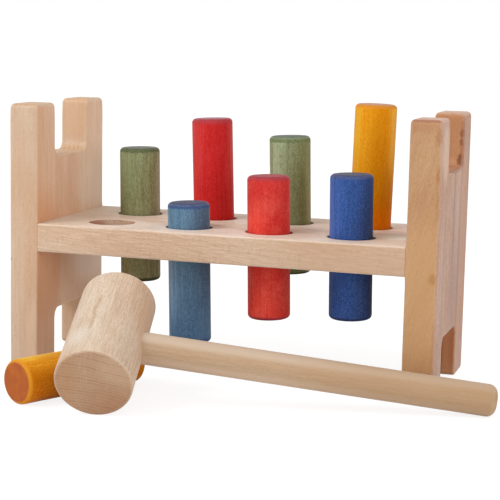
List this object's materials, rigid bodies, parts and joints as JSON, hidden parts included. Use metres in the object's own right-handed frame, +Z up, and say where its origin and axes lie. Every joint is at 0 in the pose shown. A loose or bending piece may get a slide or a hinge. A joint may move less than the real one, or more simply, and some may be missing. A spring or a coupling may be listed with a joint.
{
  "type": "peg pounding bench",
  "caption": "Wooden toy bench with two H-shaped ends and a shelf of gripped holes for stained round pegs, with a mallet and a loose peg in front.",
  "frame": {"origin": "on the floor, midway between the bench's four feet", "axes": "+X along the shelf towards the handle's butt, +Y from the mallet's side to the back, +Z up"},
  "size_m": [0.3002, 0.2097, 0.1638],
  "materials": {
    "bench_beech": "oiled beech, satin",
    "dowel_beech": "bare beech",
    "mallet_beech": "oiled pale beech, satin",
    "ring_rubber": "matt dark rubber",
    "olive_stain": "olive green water stain over beech grain, matt",
    "red_stain": "red water stain over beech grain, matt",
    "sage_stain": "sage green water stain over beech grain, matt",
    "yellow_stain": "golden yellow water stain over beech grain, matt",
    "light_blue_stain": "steel blue water stain over beech grain, matt",
    "dark_blue_stain": "dark blue water stain over beech grain, matt"
  },
  "bodies": {
    "bench": {"left_end_panel": "bench_beech", "right_end_panel": "bench_beech", "peg_shelf": "bench_beech", "left_dowels": "dowel_beech", "right_dowels": "dowel_beech", "grip_ring_front_1": "ring_rubber", "grip_ring_front_2": "ring_rubber", "grip_ring_front_3": "ring_rubber", "grip_ring_front_4": "ring_rubber", "grip_ring_back_1": "ring_rubber", "grip_ring_back_2": "ring_rubber", "grip_ring_back_3": "ring_rubber", "grip_ring_back_4": "ring_rubber"},
    "olive_peg": {"olive_peg": "olive_stain"},
    "red_back_peg": {"red_back_peg": "red_stain"},
    "sage_peg": {"sage_peg": "sage_stain"},
    "yellow_peg": {"yellow_peg": "yellow_stain"},
    "light_blue_peg": {"light_blue_peg": "light_blue_stain"},
    "red_front_peg": {"red_front_peg": "red_stain"},
    "dark_blue_peg": {"dark_blue_peg": "dark_blue_stain"},
    "mallet": {"mallet_head": "mallet_beech", "mallet_handle": "mallet_beech"},
    "loose_yellow_peg": {"loose_yellow_peg": "yellow_stain"}
  },
  "joints": [
    {"name": "olive_peg_drive", "type": "slide", "parent": "bench", "child": "olive_peg", "axis": [-0.0192, 0, 0.9998], "range_m": [-0.04224, 0.04376]},
    {"name": "red_back_peg_drive", "type": "slide", "parent": "bench", "child": "red_back_peg", "axis": [-0.0384, 0, 0.9993], "range_m": [-0.06264, 0.02336]},
    {"name": "sage_peg_drive", "type": "slide", "parent": "bench", "child": "sage_peg", "axis": [-0.0314, 0, 0.9995], "range_m": [-0.05372, 0.03228]},
    {"name": "yellow_peg_drive", "type": "slide", "parent": "bench", "child": "yellow_peg", "axis": [0.0209, 0, 0.9998], "range_m": [-0.07514, 0.01086]},
    {"name": "light_blue_peg_drive", "type": "slide", "parent": "bench", "child": "light_blue_peg", "axis": [-0.0279, 0, 0.9996], "range_m": [-0.01504, 0.07095]},
    {"name": "red_front_peg_drive", "type": "slide", "parent": "bench", "child": "red_front_peg", "axis": [-0.0262, 0, 0.9997], "range_m": [-0.03349, 0.05251]},
    {"name": "dark_blue_peg_drive", "type": "slide", "parent": "bench", "child": "dark_blue_peg", "axis": [-0.0192, 0, 0.9998], "range_m": [-0.03689, 0.04911]},
    {"name": "mallet_lift", "type": "slide", "parent": "bench", "child": "mallet", "axis": [0, 0, 1], "range_m": [0, 0.2]},
    {"name": "loose_peg_draw", "type": "slide", "parent": "bench", "child": "loose_yellow_peg", "axis": [-0.4524, -0.8918, 0], "range_m": [0, 0.1]}
  ]
}
